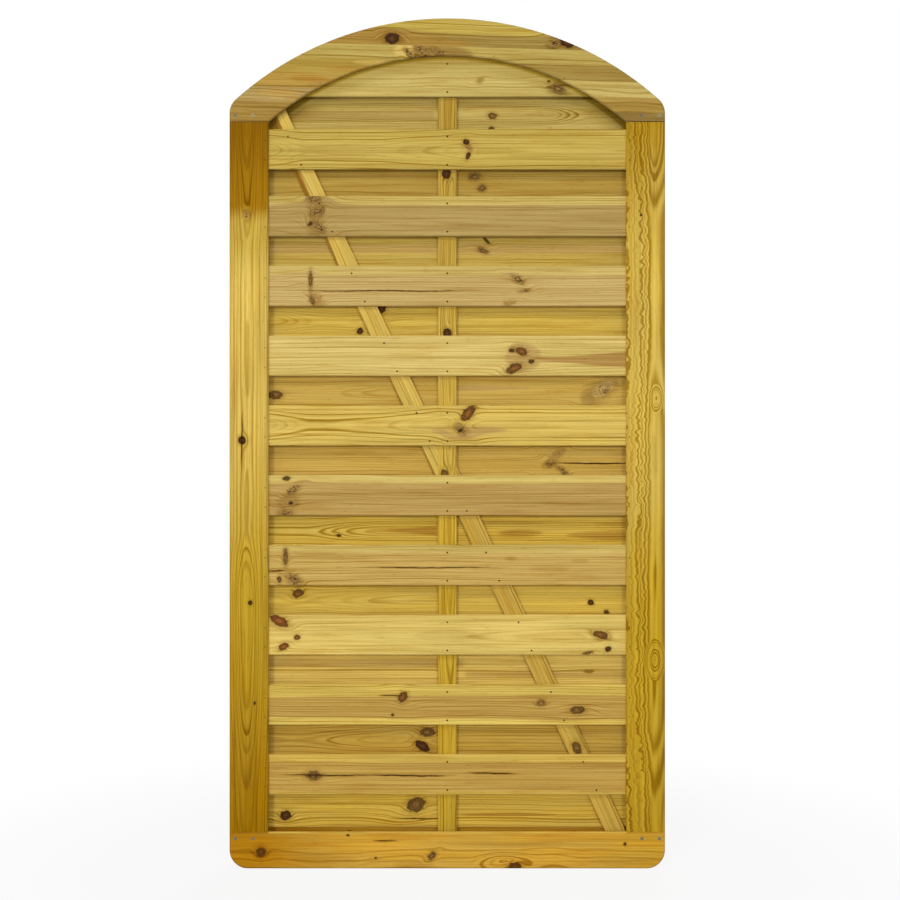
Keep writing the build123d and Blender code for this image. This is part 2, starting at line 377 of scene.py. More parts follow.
# %% [markdown]
# ## Bands, knots and cracks
#
# Bands are stretches of heartwood or stain that follow the grain, such as the brown heart of a slat with
# pale edges, or a wedge that widens from a knot. A crack opens where the board dried faster outside than
# inside: it is thin, dark and slightly crooked. Each one is a distance from a line or a point, so that the
# same few sums serve all the boards.

# %% Bands, knots and cracks in the colour
BAND_END = 14
SLOW_CROOK = 0.7
SLOW_WAVE = 29
QUICK_CROOK = 0.22
QUICK_WAVE = 6.1


def lay_bands(colour, lines, grain, fibre, bands):
    """Mix in bands along the grain: start, end, middle, half width, outline, softness, colour, amount."""
    along = lines[0]
    for begin, end, middle, half, outline, soft, tint, amount in bands:
        left, centre, right = outline
        run = (along - (begin + end) / 2) * (2 / (end - begin))
        width = run * ((right - left) / 2) + run * run * ((left + right) / 2 - centre) + centre
        inside = (width * half - abs(grain - middle) + fibre * 5 - 2.5).step(-soft, soft)
        within = ((end - begin) / 2 - abs(along - (begin + end) / 2)).step(0, BAND_END)
        colour = colour.blend(tint, inside * within * amount)
    return colour


def lay_knots(start, colour, reaches, mottle, bits):
    """Paint each knot with rings of two tones, a ragged dark rim, dark specks and a shadow in the wood."""
    for reach, kind in reaches:
        light, dark, soft, rim, specks = KNOT_KINDS[kind]
        ragged = reach + (mottle - 0.5) * (0.9 + soft)
        rings = reach.math("SINE", reach * 9 + mottle * 6) * 0.5 + 0.5
        tone = start.mix(rings, light, dark)
        colour = colour.dim(HALO, ragged.step(2.4, 0.8) * 0.6)
        colour = colour.blend(tone, ragged.step(1.02 + soft, 1.0 - soft) * (1 - soft * 0.4))
        if rim:
            colour = colour.blend(BARK, ragged.step(0.55, 0.95) * ragged.step(1.25, 1.0) * rim)
        if specks:
            colour = colour.blend(BARK, bits.step(0.5, 0.6) * ragged.step(1.35, 0.6) * specks)
    return colour


def sine(value):
    """The sine of a wire or a number."""
    return value.math("SINE", value) if isinstance(value, Wire) else math.sin(value)


def crook(distance):
    """How far a crack strays from its line."""
    slow = sine(distance * (1 / SLOW_WAVE)) * SLOW_CROOK
    return slow + sine(distance * (1 / QUICK_WAVE) + 1) * QUICK_CROOK


def lay_cracks(colour, lines, face, mottle, cracks):
    """Darken each crack in the front face: start, end, height across the board, half width."""
    along, across, through = lines
    for begin, end, height, half in cracks:
        run = (along - (begin + end) / 2) * (2 / (end - begin))
        gap = (1 - run * run * run * run) * half - abs(across - height - crook(along))
        shallow = (through - face).step(5, 4)
        colour = colour.dim(HALO, (gap + mottle * 3 - 1.5).step(-3.5, 0) * shallow * 0.7)
        colour = colour.blend(CRACK, (gap + mottle * 1.6 - 0.8).step(-0.6, 0.5) * shallow * 0.95)
    return colour


print("A crack strays at most", SLOW_CROOK + QUICK_CROOK, "mm from its line")

# %% [markdown]
# ## Painted shade, shadow and highlight
#
# The groove of the bottom rail gets painted shade, the slats along the curve of the arch get painted shade
# and a painted shadow line, and the rail's top edge gets a painted highlight. These marks follow the shape
# of the gate and not the grain, so they are measured from the groove, the edge and the arch. Each pair of
# numbers says where a mark ends and where it has its full strength, in millimetres.

# %% Painted shade in the rail's groove, a painted highlight on its edge, and painted shadow under the arch
# Where the painted shade in the rail's groove lies.
GROOVE_SIDES = (20, 18)
GROOVE_FLOOR = (30, 26)
GROOVE_ENDS = (400, 390)
# Where the painted highlight on the rail's top edge lies.
LIT_EDGE = (4.5, 2.5)
LIT_EDGE_ENDS = (372, 366)
ARCH_CENTRE = 1115.0
ARCH_RADIUS = 565.0
# Where the painted shade and the painted shadow line under the arch reach.
ARCH_SHADE_REACH = (42, 16)
ARCH_SHADOW_REACH = (10.5, 4)


def paint_rail_shade_and_highlight(colour, lines, top):
    """Paint shade into the rail's groove and a highlight along its top edge. Top is how far that edge lies
    from its middle.
    """
    along, across, through = lines
    depth = top - across
    # Painted shade, deepest inside the rail's groove.
    groove = abs(through).step(*GROOVE_SIDES) * depth.step(*GROOVE_FLOOR) * abs(along).step(*GROOVE_ENDS)
    # A painted highlight along the rail's top edge, between the stiles.
    edge_highlight = depth.step(*LIT_EDGE) * abs(along).step(*LIT_EDGE_ENDS) * (1 - groove)
    return colour.dim(GROOVE_SHADE, groove).blend(PALE_GOLD, edge_highlight * 0.8)


def paint_arch_shadow(colour, lines, middle):
    """Paint the arch's shade and shadow on a slat, darker towards the inner curve of the arch. Middle is the
    height of the slat's middle.
    """
    along, across, through = lines
    rise = across + (middle - ARCH_CENTRE)
    below = ARCH_RADIUS - along.math("SQRT", along * along + rise * rise)
    # Painted shade towards the arch, then a darker painted shadow line right under it.
    colour = colour.dim(ARCH_SHADE, below.step(*ARCH_SHADE_REACH))
    return colour.dim(ARCH_SHADOW, below.step(*ARCH_SHADOW_REACH))


print("The crown of the arch's inner curve is", ARCH_CENTRE + ARCH_RADIUS, "mm up")

# %% [markdown]
# ## One board's timber
#
# Everything comes together in one function: where the board lies, where the trunk's heart was, and what
# the board shows of knots, bands, stains and cracks. Planed pine is dull, with late wood a little harder and
# smoother than early wood, and its fibres leave fine ridges that the light grazes. A stain has a place along
# the board, a reach, a softness, a filter and an amount.

# %% Pine
PINE_SHINE = 0.02
RIDGE_HEIGHT = 0.4 * MM


def pine(name, centre, slope, face, seed, sapwood, pith=(-90, 40), flames=(), sway=6.0, ring=4.5,
         contrast=0.8, waves=0.0, blur=0.14, bands=(), knots=(), eyes=(), cracks=(), stains=(),
         rail_top=None, arched=False, fine=0.55):
    """A board's own material. Pith gives the heart of the trunk: across the board and behind it."""
    material, shader, start = new_material(name)
    lines = lie(start, centre, slope)
    along = lines[0]
    grain, swell, near_knots, reaches = part_round_knots(lines, knots, eyes)
    late = growth_rings(start, lines, grain, swell, seed, pith, flames, sway, ring, waves, blur)
    fibre = streaks(start, lines, 260, 2.2, seed + 5, 3.0)
    patch = streaks(start, lines, 240, 26, seed + 17)
    shade = streaks(start, lines, 420, 6, seed + 41)
    mottle = streaks(start, lines, 10, 7, seed + 23, 3.0)
    bits = streaks(start, lines, 5, 3, seed + 57, 3.0)
    warmth = streaks(start, lines, 150, 13, seed + 71, 3.0)
    flecks = streaks(start, lines, 24, 2.0, seed + 31).step(0.64, 0.7)

    colour = start.mix(patch.step(0.35, 0.7) * 0.4, sapwood, OLIVE)
    colour = lay_bands(colour, lines, grain, fibre, bands)
    for place, reach, soft, tint, amount in stains:
        near = (abs(along - place) + (patch - 0.5) * (reach * soft * 0.6)).step(reach, reach * (1 - soft))
        colour = colour.dim(tint, near * amount)
    # Painted shade in the rail's groove, a painted highlight on its top edge, and painted shade and shadow
    # under the arch.
    if rail_top:
        colour = paint_rail_shade_and_highlight(colour, lines, rail_top)
    if arched:
        colour = paint_arch_shadow(colour, lines, centre[1])
    colour = colour.dim(SHADE, shade.step(0.42, 0.66) * 0.8)
    colour = colour.dim(WARM, warmth.step(0.5, 0.72) * 0.6)
    colour = colour.dim(FIBRE, fibre.step(0.44, 0.64) * fine)
    colour = colour.dim(RESIN, flecks * 0.6)
    colour = colour.dim(LATE_WOOD, late * (near_knots * 0.5 + contrast))
    colour = lay_knots(start, colour, reaches, mottle, bits)
    colour = lay_cracks(colour, lines, face, mottle, cracks)

    rough = fibre * 0.2 + 0.6 - late * 0.1
    relief = start.node("ShaderNodeBump", {}, {"Strength": 0.4, "Distance": RIDGE_HEIGHT, "Height": fibre})
    colour.feed(shader["Base Color"])
    rough.feed(shader["Roughness"])
    relief.feed(shader["Normal"])
    shader["Specular IOR Level"].default_value = PINE_SHINE
    return material


print("The fibres' ridges are", round(RIDGE_HEIGHT / MM, 1), "mm high")

# %% [markdown]
# ## Where the brads and screws are
#
# Every slat is nailed with small brads, and two screws hold each corner joint. The CAD model gives them as
# groups of separate solids, so each one is found by walking from point to point until nothing is left to
# reach. The boards need these places for their nail holes, and the heads are set there later.

# %% Find the fasteners
SAME_POINT = 0.001 * MM
SLAT_BRAD_HEAD = 1.8
CHEEK_BRAD_HEAD = 1.0


def welded(node):
    """The shape of a CAD node, with points that share a place joined into one."""
    shape = bmesh.new()
    shape.from_mesh(parts[node].data)
    bmesh.ops.remove_doubles(shape, verts=shape.verts, dist=SAME_POINT)
    return shape


def places_in(node):
    """The lowest and highest corner of every separate solid in a CAD node, in millimetres."""
    shape = welded(node)
    seen = set()
    boxes = []
    for first in shape.verts:
        if first.index in seen:
            continue
        group = [first]
        seen.add(first.index)
        for vertex in group:
            for edge in vertex.link_edges:
                other = edge.other_vert(vertex)
                if other.index not in seen:
                    seen.add(other.index)
                    group.append(other)
        corners = [[vertex.co[axis] / MM for vertex in group] for axis in range(3)]
        boxes.append((Vector([min(c) for c in corners]), Vector([max(c) for c in corners])))
    shape.free()
    return boxes


brad_heads = {}
for node in parts:
    if node.endswith("brads"):
        radius = CHEEK_BRAD_HEAD if "stile" in node or "arch" in node else SLAT_BRAD_HEAD
        brad_heads[node] = [(low, high, radius) for low, high in places_in(node)]
screw_places = places_in("corner_screws")
print(sum(len(group) for group in brad_heads.values()), "brads and", len(screw_places), "screws")

# %% [markdown]
# ## Cutting nail holes and cracks
#
# A nail gun drives each brad a little below the surface, and drying opens cracks along the grain. Both are
# real hollows, so they are cut out of the boards: a small cone for every nail hole, a round sink for every
# screw, and a crooked wedge for every crack. A boolean takes them all out of a copy of the board at once.

# %% Tools that cut the boards
SCREW_HEAD = 3.95
SCREW_SIDES = 24
BRAD_SIDES = 12
SINK_RIM = 0.6
SINK_DEPTH = 2.2
HOLE_RIM = 0.45
HOLE_DEPTH = 1.1
CRACK_DEPTH = 3.5
CRACK_STATION = 5
OVERSHOOT = 0.5
CRACK_OVERSHOOT = 0.6


def turn(shape, x, z, profile, sides):
    """Add a solid turned about a line from front to back, through pairs of depth and radius."""
    rings = []
    for depth, radius in profile:
        ring = []
        for corner in range(sides):
            angle = 2 * math.pi * (corner + 0.5) / sides
            point = Vector((x + radius * math.cos(angle), depth, z + radius * math.sin(angle)))
            ring.append(shape.verts.new(point * MM))
        rings.append(ring)
    for near, far in zip(rings, rings[1:]):
        for corner in range(sides):
            shape.faces.new((near[corner], near[corner - 1], far[corner - 1], far[corner]))
    shape.faces.new(rings[0])
    shape.faces.new(rings[-1])


def slit(shape, centre, slope, face, crack):
    """Add the crooked wedge of one crack, which is widest in its middle and closes at both ends."""
    begin, end, height, half = crack
    turned = math.radians(slope)

    def point(run, aside, level):
        x = centre[0] + run * math.cos(turned) - aside * math.sin(turned)
        z = centre[1] + run * math.sin(turned) + aside * math.cos(turned)
        return shape.verts.new(Vector((x, face + level, z)) * MM)

    count = max(6, round((end - begin) / CRACK_STATION))
    tip = point(begin, height + crook(begin), -CRACK_OVERSHOOT)
    last = [tip, tip, tip]
    for station in range(1, count + 1):
        share = 2 * station / count - 1
        run = begin + (end - begin) * station / count
        middle = height + crook(run)
        if station == count:
            tip = point(end, middle, -CRACK_OVERSHOOT)
            here = [tip, tip, tip]
        else:
            open_half = half * (1 - share**4) + 0.15
            floor_level = CRACK_DEPTH * (1 - share**4) + 0.3
            here = [point(run, middle + side * open_half, -CRACK_OVERSHOOT) for side in (1, -1)]
            here.append(point(run, middle, floor_level))
        for side in range(3):
            corners = [last[side - 1], last[side], here[side], here[side - 1]]
            shape.faces.new(list(dict.fromkeys(corners)))
        last = here


def holes_for(node, shape):
    """Add a cone for each brad and a sink for each screw whose head lies in a face of this board."""
    low, high = [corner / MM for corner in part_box(node)]
    for group in brad_heads.values():
        for near, far, radius in group:
            middle = (near + far) / 2
            if not (low.x < middle.x < high.x and low.z < middle.z < high.z):
                continue
            for face, head, inward in ((low.y, near.y, 1), (high.y, far.y, -1)):
                if abs(face - head) < 0.1:
                    rim = (face - inward * OVERSHOOT, radius + HOLE_RIM)
                    turn(shape, middle.x, middle.z, [rim, (face + inward * HOLE_DEPTH, radius)], BRAD_SIDES)
    for near, far in screw_places:
        middle = (near + far) / 2
        if low.x < middle.x < high.x and low.z < middle.z < high.z:
            profile = [(near.y - OVERSHOOT, SCREW_HEAD + SINK_RIM), (near.y + SINK_DEPTH, 2.0)]
            turn(shape, middle.x, middle.z, profile, SCREW_SIDES)


print("Cracks are cut up to", CRACK_DEPTH, "mm deep and nail holes", HOLE_DEPTH, "mm")

# %% [markdown]
# ## Making a board
#
# Each board is a copy of its CAD solid, so it keeps its tenons and its groove. Its timber is made first.
# Then all its hollows are gathered into one knife, so that a single cut takes them out. Faces that meet at
# a sharp angle keep a crisp edge, and the rest is shaded smooth.

# %% Boards and slats
UPRIGHT = 90
LEVEL = 0
CRISP_EDGE = math.radians(25)
slat_low, slat_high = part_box("front_slat_01")
SLAT_HEIGHT = (slat_high.z - slat_low.z) / MM


def as_mesh(shape, name):
    """The mesh of a shape that is done with."""
    mesh = bpy.data.meshes.new(name)
    shape.to_mesh(mesh)
    shape.free()
    return mesh


def stand_in(piece, node, crisp):
    """Shade a piece smooth up to an angle, and let it take the place of its CAD node."""
    mesh = piece.data
    mesh.polygons.foreach_set("use_smooth", [True] * len(mesh.polygons))
    mesh.set_sharp_from_angle(angle=crisp)
    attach(piece, "root")
    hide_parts(node)
    return piece


def board(node, slope, centre=None, **figure):
    """A copy of a CAD board with its own timber, nail holes and cracks, measured from its centre."""
    low, high = [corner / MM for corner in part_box(node)]
    face = low.y
    if centre is None:
        centre = ((low.x + high.x) / 2, (low.z + high.z) / 2)
    material = pine(node, centre, slope, face=face, **figure)
    knife_shape = bmesh.new()
    holes_for(node, knife_shape)
    for crack in figure.get("cracks", ()):
        slit(knife_shape, centre, slope, face, crack)
    bmesh.ops.recalc_face_normals(knife_shape, faces=knife_shape.faces)
    knife_mesh = as_mesh(knife_shape, "knife")
    piece = put(node + "_timber", as_mesh(welded(node), node + "_timber"))
    if knife_mesh.polygons:
        knife = put("knife", knife_mesh)
        cut = piece.modifiers.new("cut", "BOOLEAN")
        cut.operation = "DIFFERENCE"
        cut.solver = "EXACT"
        cut.use_self = True
        cut.object = knife
        seen = piece.evaluated_get(bpy.context.evaluated_depsgraph_get())
        piece.data = bpy.data.meshes.new_from_object(seen)
        piece.modifiers.clear()
        bpy.data.objects.remove(knife)
    mesh = piece.data
    mesh.materials.clear()
    mesh.materials.append(material)
    if "custom_normal" in mesh.attributes:
        mesh.attributes.remove(mesh.attributes["custom_normal"])
    return stand_in(piece, node, CRISP_EDGE)


def slat(layer, number, shade, **figure):
    """One slat, counted from the bottom. Its places are measured from the middle of its full height."""
    node = f"{layer}_slat_{number:02d}"
    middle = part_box(node)[0].z / MM + SLAT_HEIGHT / 2
    seed = number * 3.7 + len(layer) * 11
    return board(node, LEVEL, (0, middle), seed=seed, sapwood=paint(*shade), **figure)


print("Each full slat is", round(SLAT_HEIGHT, 2), "mm high")

# %% [markdown]
# ## The front slats
#
# Eleven slats make the front layer, and no two come from the same part of a tree. Some are pale sapwood
# with ovals and arches, others have a band of pinkish heartwood between pale edges. Each call gives one
# slat's own figure: where the heart of its trunk was, its bands, its knots, its eyes and its cracks. A knot
# is given as its place along and across, its half length and half width, its tilt and its kind.

# %% The three front slats at the top
END = 390
slat("front", 11, (198, 178, 107), pith=(-120, 40), ring=5, sway=9, contrast=0.45, fine=0.5,
     arched=True,
     bands=[(-END, END, 32, 10, EVEN, 5, OLIVE, 0.7)],
     knots=[(229, -26, 15, 9, -15, "brown"), (210, -10, 3, 2, 0, "black"), (68, -9, 6, 4, 30, "trace")],
     eyes=[(231, -26, 30, 17, 2.5)])
slat("front", 10, (196, 171, 85), pith=(-3, 14), ring=3.4, sway=3, contrast=1.4,
     flames=[(-190, 260, 12), (-290, -100, 12)], bands=[(18, 72, 2, 13, SPINDLE, 5, SAND, 0.5)],
     knots=[(39, 15, 5, 6, 60, "dark"), (45, 3, 7, 4, -40, "specked"), (43, -14, 4, 7, -20, "dark")])
slat("front", 9, (204, 181, 104), pith=(-140, 30), contrast=0.5,
     bands=[(-END, END, -12, 35, EVEN, 1.2, paint(178, 152, 93), 0.95)],
     knots=[(-272, 4, 10, 36, 0, "trace"), (-277, 36, 11, 6, 0, "specked"), (-269, 9, 11, 7, 30, "specked"),
            (-284, -16, 5, 3, 30, "black"), (-266, -23, 13, 6, -35, "specked")])
print("Top front slats made")

# %% The middle front slats
slat("front", 8, (204, 181, 108), pith=(-130, 26), contrast=0.55,
     bands=[(-END, END, -13, 35, EVEN, 1.2, paint(200, 172, 110), 0.95)],
     knots=[(-283, 12, 4, 17, 0, "brown"), (-271, -29, 12, 8, -45, "trace"), (-280, -30, 4, 9, 20, "brown"),
            (161, -10, 9, 3, 10, "specked"), (146, 13, 12, 6, -30, "specked"),
            (128, -36, 9, 4, 20, "trace")],
     cracks=[(-284, 24, -10, 0.7)])
slat("front", 7, (224, 200, 123), pith=(-110, 44), sway=5, contrast=0.6,
     bands=[(112, 200, -4, 27, SPINDLE, 6, ROSE, 0.75),
            (160, 400, -8, 19, WIDENING, 2, paint(184, 148, 84), 1.0)],
     knots=[(154, 9, 11, 7, -25, "warm"), (134, 11, 5, 4, 0, "black"), (138, -26, 16, 8, 25, "warm"),
            (174, -12, 5, 4, 0, "black")])
slat("front", 6, (223, 194, 101), pith=(1, 16), ring=3.4, sway=3, contrast=1.1,
     flames=[(-280, -110, 10), (-270, 360, 12)], bands=[(-40, 130, -9, 9, SPINDLE, 4, ROSE, 0.8)],
     knots=[(43, 25, 17, 9, 50, "warm"), (26, -8, 13, 8, -30, "specked"), (27, -10, 4, 3, 0, "black")])
slat("front", 5, (223, 199, 118), pith=(-140, 24), sway=7, contrast=0.55,
     bands=[(-END, END, -12, 37, EVEN, 1.2, paint(190, 157, 92), 0.95)],
     knots=[(-333, 35, 7, 4, 0, "black"), (-319, 11, 12, 6, 35, "specked"), (-329, -14, 14, 8, 10, "trace"),
            (-324, -16, 4, 3, 0, "black"), (-335, -36, 12, 5, 0, "specked")],
     eyes=[(-329, -14, 26, 16, 2.5)])
print("Middle front slats made")

# %% The lower front slats
slat("front", 4, (213, 189, 111), pith=(-120, 24), sway=7,
     bands=[(-END, END, -12, 37, EVEN, 1.2, paint(206, 174, 99), 0.95),
            (112, 150, 14, 4, SPINDLE, 4, RUSSET, 0.6), (160, 260, -8, 5, SPINDLE, 5, RUSSET, 0.35),
            (250, 300, 9, 4, SPINDLE, 4, RUSSET, 0.4), (-330, -220, 24, 6, SPINDLE, 5, RUSSET, 0.35)],
     knots=[(-335, 18, 5, 15, 0, "brown"), (-348, -29, 4, 6, 0, "tan"), (-318, -30, 15, 9, -35, "specked")],
     cracks=[(-143, 80, -5, 0.7), (-372, -340, -12, 0.9)])
slat("front", 3, (231, 203, 114), pith=(-2, 20), ring=3.6, sway=3, contrast=0.6,
     flames=[(-330, 560, 14)],
     knots=[(-348, 29, 18, 9, -25, "red"), (-311, -5, 6, 5, 0, "red"), (-339, -24, 10, 6, 30, "red"),
            (318, 0, 15, 7, -15, "warm"), (333, -29, 6, 5, 30, "dark"), (291, -37, 9, 3, 15, "brown")])
slat("front", 2, (231, 203, 104), pith=(-90, 20), sway=8,
     bands=[(-END, END, -5, 22, (0.9, 1.05, 1.1), 1.5, paint(196, 161, 85), 0.95)],
     knots=[(-92, 16, 8, 10, -30, "warm"), (-113, -21, 3, 3, 0, "black"), (270, -11, 14, 7, 0, "tan"),
            (194, 4, 9, 6, 0, "swirl")],
     eyes=[(276, -11, 48, 18, 3)],
     cracks=[(-138, -98, 19, 0.7)])
slat("front", 1, (224, 191, 94), pith=(-110, 22), contrast=0.6,
     bands=[(-END, END, -4, 30, EVEN, 1.5, paint(195, 158, 84), 0.75)],
     knots=[(-277, -2, 14, 9, 0, "brown")],
     cracks=[(-325, -168, -1, 0.9), (-160, -5, -2, 1.1), (46, 135, 3, 1.1)])
print("Lower front slats made")

# %% [markdown]
# ## The back slats
#
# The back layer covers the gaps of the front layer, so only the middle of each slat shows. They took up
# more of the treatment and have stayed a warmer yellow. They are made in the same way, and their hidden
# edges get their timber too, because the gate is also seen from behind.

# %% The upper back slats
slat("back", 11, (190, 168, 96), pith=(-2, 26), ring=4, sway=5, contrast=1.0,
     arched=True, flames=[(300, -150, 24)],
     bands=[(-END, -20, -4, 10, EVEN, 4, DUSK, 0.5)],
     knots=[(94, -5, 8, 6, 0, "tan"), (92, -32, 5, 4, 20, "black")])
slat("back", 10, (176, 145, 67), pith=(70, 34), sway=8, contrast=0.7,
     knots=[(57, 13, 11, 7, 0, "brown"), (72, -11, 8, 6, 0, "brown")])
slat("back", 9, (197, 169, 82), pith=(-90, 30), sway=8, contrast=0.6,
     bands=[(-END, END, 7, 9, EVEN, 4, ROSE, 0.7)],
     knots=[(82, 24, 8, 3, -40, "black"), (74, 3, 10, 5, -20, "brown")])
slat("back", 8, (210, 179, 80), pith=(0, 24), ring=3.8, sway=4, contrast=1.2,
     flames=[(-262, -130, 14), (-228, 160, 12)],
     knots=[(-182, -20, 6, 6, 0, "dark"), (-137, 28, 8, 9, 0, "dark")])
slat("back", 7, (204, 170, 83), pith=(-5, 26), ring=3.8, sway=4, contrast=0.7,
     flames=[(-330, 320, 12)],
     bands=[(10, 180, 6, 7, (0.9, 0.6, 0.1), 3, ROSE, 0.8), (270, 318, -6, 12, SPINDLE, 9, DUSK, 0.5)],
     knots=[(-358, -8, 13, 8, 0, "tan"), (325, 4, 24, 13, 35, "pale"), (331, 0, 6, 4, 0, "specked")],
     eyes=[(322, 4, 46, 28, 4)])
slat("back", 6, (205, 169, 83), pith=(-90, 26), sway=7, contrast=0.6,
     knots=[(212, -8, 8, 5, 0, "specked"), (226, 8, 18, 6, 45, "trace"), (240, -22, 16, 5, -40, "specked")],
     cracks=[(228, 385, -6, 1.2)])
print("Upper back slats made")

# %% The lower back slats
slat("back", 5, (219, 185, 78), pith=(-3, 24), ring=3.8, sway=4, contrast=1.5,
     flames=[(-300, 170, 14)],
     bands=[(-165, -14, -2, 10, WIDENING, 3, RUSSET, 0.8), (100, 205, -7, 7, (0, 0.9, 0), 5, RUSSET, 0.75),
            (240, 400, -11, 10, (0, 0.9, 0.8), 5, RUSSET, 0.7), (300, 400, 12, 5, WIDENING, 4, RUSSET, 0.4)],
     knots=[(-226, -12, 4, 3, 0, "dark")])
slat("back", 4, (220, 187, 82), pith=(-2, 26), ring=3.8, sway=4, contrast=0.95,
     flames=[(-290, 260, 12)],
     knots=[(-311, 12, 11, 8, 20, "warm"), (299, -7, 6, 5, 0, "dark"), (332, -27, 5, 4, 0, "black")])
slat("back", 3, (226, 194, 103), pith=(-120, 30), contrast=0.75,
     bands=[(-END, 40, 12, 8, EVEN, 5, SAND, 0.7), (30, END, -12, 7, EVEN, 5, SAND, 0.7)],
     knots=[(295, -6, 6, 3, 0, "eye")])
slat("back", 2, (197, 160, 69), pith=(-4, 26), flames=[(-330, 240, 12)], ring=3.8, sway=4,
     knots=[(-42, 12, 14, 8, 0, "tan"), (-52, -17, 15, 8, -30, "dark")])
slat("back", 1, (220, 184, 75), pith=(-70, 26), sway=7, contrast=0.9,
     bands=[(20, 236, -15, 4, SPINDLE, 1.5, RUSSET, 0.7)],
     knots=[(-337, -17, 10, 9, 0, "dark"), (-65, 6, 17, 13, 25, "tan")],
     cracks=[(-106, -20, -23, 0.8)])
print("Lower back slats made")

# %% [markdown]
# ## Stiles and bottom rail
#
# The frame is thicker timber, and its ends drank more of the treatment through the open grain, so they are
# darker and browner than the middle. The left stile shows long arches. The right one is cut close to the
# heart: wavy lines on one side, and ovals where a branch was overgrown. Stains are filters laid over the
# timber, which costs less than giving each end its own set of colours.

# %% The frame
AMBER_STAIN = (0.78, 0.71, 0.24, 1.0)
YELLOW_STAIN = (0.86, 0.785, 0.3, 1.0)
BATTEN_STAIN = (1.0, 0.95, 0.5, 1.0)
FOOT_STAIN = (0.83, 0.79, 0.74, 1.0)
BROWN_STAIN = (0.64, 0.47, 0.076, 1.0)
DEEP_STAIN = (0.66, 0.5, 0.05, 1.0)
END_STAIN = (0.66, 0.6, 0.5, 1.0)
SHOULDER_STAIN = (0.84, 0.83, 0.66, 1.0)
HEAD_STAIN = (0.67, 0.57, 0.2, 1.0)
RAIL_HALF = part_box("bottom_rail")[1].z / MM / 2
board("left_stile", UPRIGHT, seed=2.0, sapwood=PALE_GOLD, pith=(4, 8), ring=4, sway=3, contrast=1.1,
      flames=[(470, 420, 20), (-800, 520, 22), (-250, 150, -14)],
      knots=[(76, 14, 8, 7, 0, "dark"), (-260, -3, 5, 4, 0, "dark"), (-467, -12, 3, 2, 0, "black"),
             (541, 5, 7, 5, 0, "trace"), (545, 5, 1.3, 1.3, 0, "black"), (538, 5, 1.3, 1.3, 0, "black")],
      cracks=[(30, 124, 14, 0.8)],
      stains=[(900, 379, 0.11, BROWN_STAIN, 1.0), (800, 290, 0.9, END_STAIN, 1.0),
              (800, 393, 0.21, SHOULDER_STAIN, 1.0),
              (-850, 980, 0.4, AMBER_STAIN, 1.0), (-850, 620, 0.9, DEEP_STAIN, 1.0)])
board("right_stile", UPRIGHT, seed=3.0, sapwood=paint(219, 188, 85), pith=(-18, 20), ring=7, sway=3,
      contrast=1.9, waves=30, blur=0.35, fine=0.3, flames=[(-690, 220, 18), (60, 220, -10), (520, 200, 24)],
      knots=[(541, 10, 2, 2, 0, "black")],
      eyes=[(-378, -19, 44, 24, 6), (163, -22, 32, 16, 4)],
      stains=[(830, 400, 0.8, HEAD_STAIN, 1.0), (-830, 880, 0.4, YELLOW_STAIN, 1.0),
              (-830, 330, 0.7, FOOT_STAIN, 0.5)])
board("bottom_rail", LEVEL, seed=4.0, sapwood=paint(223, 174, 64), pith=(-50, 36), ring=5, sway=12,
      contrast=0.7, rail_top=RAIL_HALF,
      knots=[(-385, -4, 10, 10, 0, "plain"), (-32, -12, 10, 6, 40, "brown"), (140, -33, 14, 8, 0, "plain"),
             (-148, -16, 3, 2, 0, "black"), (-205, 31, 3, 2, 0, "black"), (367, 13, 3, 3, 0, "black")],
      eyes=[(120, -22, 70, 26, 4)],
      bands=[(-330, -180, -20, 9, SPINDLE, 7, RUSSET, 0.35), (-120, -20, -28, 7, SPINDLE, 6, RUSSET, 0.35)],
      cracks=[(-148, -108, 19, 0.7)],
      stains=[(-480, 330, 0.8, DEEP_STAIN, 0.9), (480, 260, 0.8, YELLOW_STAIN, 0.6)])
print("Stiles and rail made")

# %% [markdown]
# ## The arched rail
#
# An arch this deep isn't sawn from one plank. Six strips were glued edge to edge into a panel, and the
# curve was sawn out of it. The glue lines run straight across the arch and fall slightly to the right, and
# each strip keeps its own shade, so the glue lines show as steps of colour.

# %% The strips of the arch
SPRINGING = 1542
STRIP_WIDTH = 31.3
GLUE_TILT = -1.7


def strip(name, seed, shade, **figure):
    """One glued strip, counted from the springing. Its places are measured from the strip's middle."""
    centre = (0, SPRINGING + (int(name[0]) - 0.5) * STRIP_WIDTH)
    timber = paint(*shade)
    return board("arch_strip_" + name, GLUE_TILT, centre, seed=seed, sapwood=timber, ring=5, **figure)


strip("1_left", 21, (157, 124, 62), pith=(-60, 30))
strip("1_right", 22, (137, 111, 59), pith=(-60, 30))
strip("2_left", 23, (175, 149, 97), pith=(-40, 30), contrast=0.9,
      bands=[(-400, -300, 4, 7, SPINDLE, 7, ORANGE, 0.35), (-345, -270, -8, 5, SPINDLE, 5, RUSSET, 0.5)])
strip("2_right", 24, (170, 140, 71), pith=(-40, 30))
strip("3_left", 25, (178, 144, 69), pith=(-90, 30), contrast=0.9,
      bands=[(-330, -235, 3, 7, SPINDLE, 6, RUSSET, 0.65), (-300, -180, -9, 5, SPINDLE, 5, DUSK, 0.5)])
strip("3_right", 26, (195, 175, 106), pith=(-30, 30))
strip("4_left", 27, (171, 144, 66), pith=(-40, 30), contrast=0.9,
      bands=[(-260, -120, -7, 7, SPINDLE, 6, RUSSET, 0.55), (-200, -60, 9, 5, SPINDLE, 5, STRAW, 0.5)])
strip("4_right", 28, (159, 134, 70), pith=(-40, 30))
